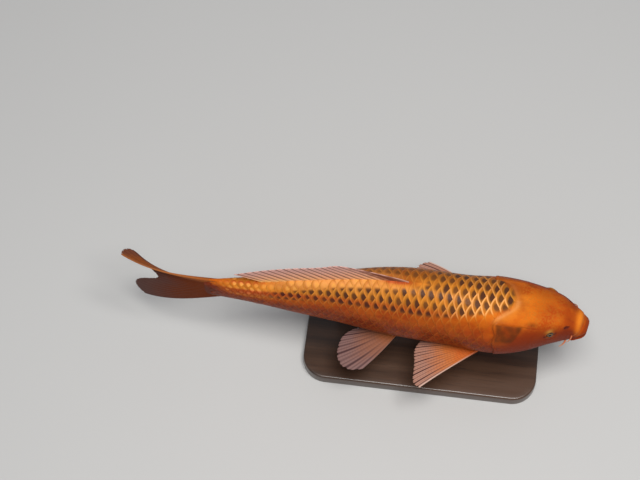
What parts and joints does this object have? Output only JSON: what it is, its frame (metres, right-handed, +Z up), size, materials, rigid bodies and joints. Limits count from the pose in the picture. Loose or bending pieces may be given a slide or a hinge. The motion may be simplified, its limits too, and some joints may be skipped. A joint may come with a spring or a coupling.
{
  "type": "koi carp model on a display stand",
  "caption": "Life-size still model of an orange koi carp swimming with its tail swept aside, with fins, barbels and eyes, held by short rods on a flat wooden base.",
  "frame": {"origin": "middle of the underside of the stand's base", "axes": "+X along the fish towards its head, +Y to the fish's left side, +Z up"},
  "size_m": [0.5618, 0.1613, 0.2082],
  "materials": {
    "head_skin": "smooth wet orange skin, redder on the cheeks, olive yellow mottling on the crown",
    "lip_skin": "smooth fleshy yellow orange lips",
    "gill_skin": "smooth orange gill cover with a dark olive patch at the top",
    "body_skin": "overlapping golden orange scales with dark centres along the back, plain orange belly",
    "eye": "glossy dark eye with a thin golden iris",
    "barbel": "smooth soft orange feelers",
    "fin": "thin ribbed membrane, orange at the root and pale pink at the margin",
    "tail_fin": "thin ribbed membrane, dark red brown with an orange leading edge and pale tips",
    "paired_fin": "thin ribbed membrane, orange at the root, pale pink towards the margin, whitish leading ray",
    "stand_wood": "dark stained wood with a satin lacquer",
    "stand_steel": "turned satin steel"
  },
  "bodies": {
    "root": {"head": "head_skin", "mouth": "lip_skin", "gill_cover_left": "gill_skin", "gill_cover_right": "gill_skin", "trunk_front": "body_skin", "trunk_rear": "body_skin", "tail_stalk": "body_skin", "eye_left": "eye", "eye_right": "eye", "barbel_lip_left": "barbel", "barbel_lip_right": "barbel", "barbel_corner_left": "barbel", "barbel_corner_right": "barbel", "dorsal_fin": "fin", "anal_fin": "fin", "tail_fin_upper": "tail_fin", "tail_fin_lower": "tail_fin", "pectoral_fin_left": "paired_fin", "pectoral_fin_right": "paired_fin", "pelvic_fin_left": "paired_fin", "pelvic_fin_right": "paired_fin", "stand_base": "stand_wood", "stand_rod_front": "stand_steel", "stand_rod_rear": "stand_steel"}
  },
  "joints": []
}
